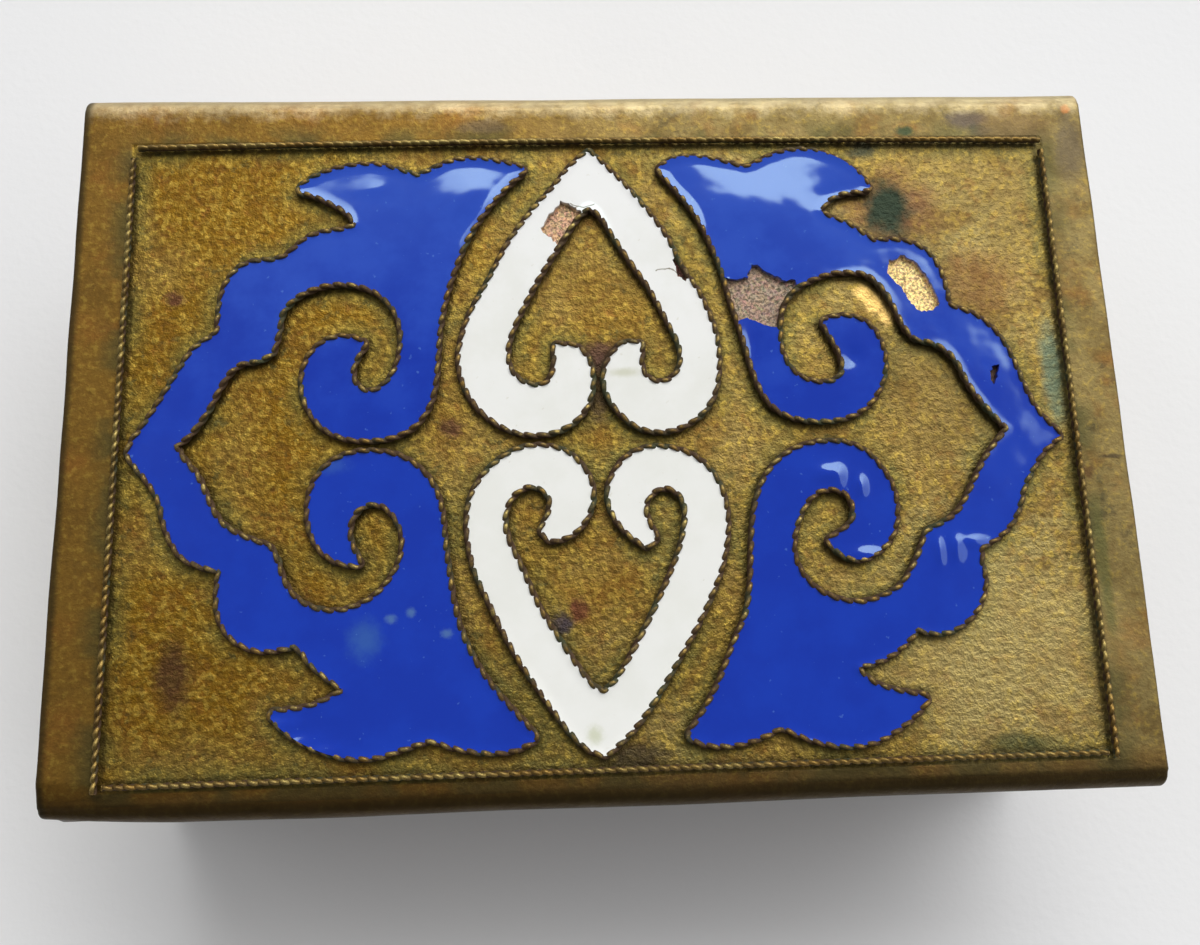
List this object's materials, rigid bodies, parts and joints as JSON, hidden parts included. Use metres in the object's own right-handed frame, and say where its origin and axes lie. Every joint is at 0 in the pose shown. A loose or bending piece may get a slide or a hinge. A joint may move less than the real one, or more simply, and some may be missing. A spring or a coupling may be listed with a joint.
{
  "type": "enamelled brass matchbox holder",
  "caption": "Folded sheet-brass matchbox holder with a face of twisted wire cells filled with blue and white enamel, holding a card matchbox with its sliding tray and matches.",
  "frame": {"origin": "under the middle of the holder, on the surface its back lies on", "axes": "+X along the holder's length and the way its matchbox slides, +Y towards the closed spine, +Z out of the enamelled face"},
  "size_m": [0.0564, 0.039, 0.0191],
  "materials": {
    "case_brass": "aged, uneven brown patina",
    "wire_brass": "aged twisted wire",
    "enamel_blue": "gloss",
    "enamel_white": "gloss",
    "card": "matte",
    "label_paper": "matte",
    "striker": "matte",
    "match_wood": "matte"
  },
  "bodies": {
    "case": {"case_shell": "case_brass", "border_wire_spine_side": "wire_brass", "border_wire_open_side": "wire_brass", "border_wire_left": "wire_brass", "border_wire_right": "wire_brass", "cell_wire_left_scrolls": "wire_brass", "enamel_left_scrolls": "enamel_blue", "cell_wire_right_scrolls": "wire_brass", "enamel_right_scrolls": "enamel_blue", "cell_wire_upper_heart": "wire_brass", "enamel_upper_heart": "enamel_white", "cell_wire_lower_heart": "wire_brass", "enamel_lower_heart": "enamel_white"},
    "matchbox": {"matchbox_sleeve": "card", "striker_open_side": "striker", "striker_spine_side": "striker", "matchbox_label": "label_paper"},
    "tray": {"matchbox_tray": "card", "match_01": "match_wood", "match_02": "match_wood", "match_03": "match_wood", "match_04": "match_wood", "match_05": "match_wood", "match_06": "match_wood", "match_07": "match_wood", "match_08": "match_wood", "match_09": "match_wood", "match_10": "match_wood", "match_11": "match_wood", "match_12": "match_wood", "match_13": "match_wood", "match_14": "match_wood", "match_15": "match_wood", "match_16": "match_wood", "match_17": "match_wood", "match_18": "match_wood", "match_19": "match_wood", "match_20": "match_wood", "match_21": "match_wood", "match_22": "match_wood", "match_23": "match_wood", "match_24": "match_wood", "match_25": "match_wood", "match_26": "match_wood", "match_27": "match_wood", "match_28": "match_wood", "match_29": "match_wood", "match_30": "match_wood", "match_31": "match_wood", "match_32": "match_wood", "match_33": "match_wood", "match_34": "match_wood", "match_35": "match_wood", "match_36": "match_wood"}
  },
  "joints": [
    {"name": "box_slide", "type": "slide", "parent": "case", "child": "matchbox", "axis": [1, 0, 0], "range_m": [-0.057, 0.057]},
    {"name": "tray_slide", "type": "slide", "parent": "matchbox", "child": "tray", "axis": [1, 0, 0], "range_m": [-0.04, 0.04]}
  ]
}
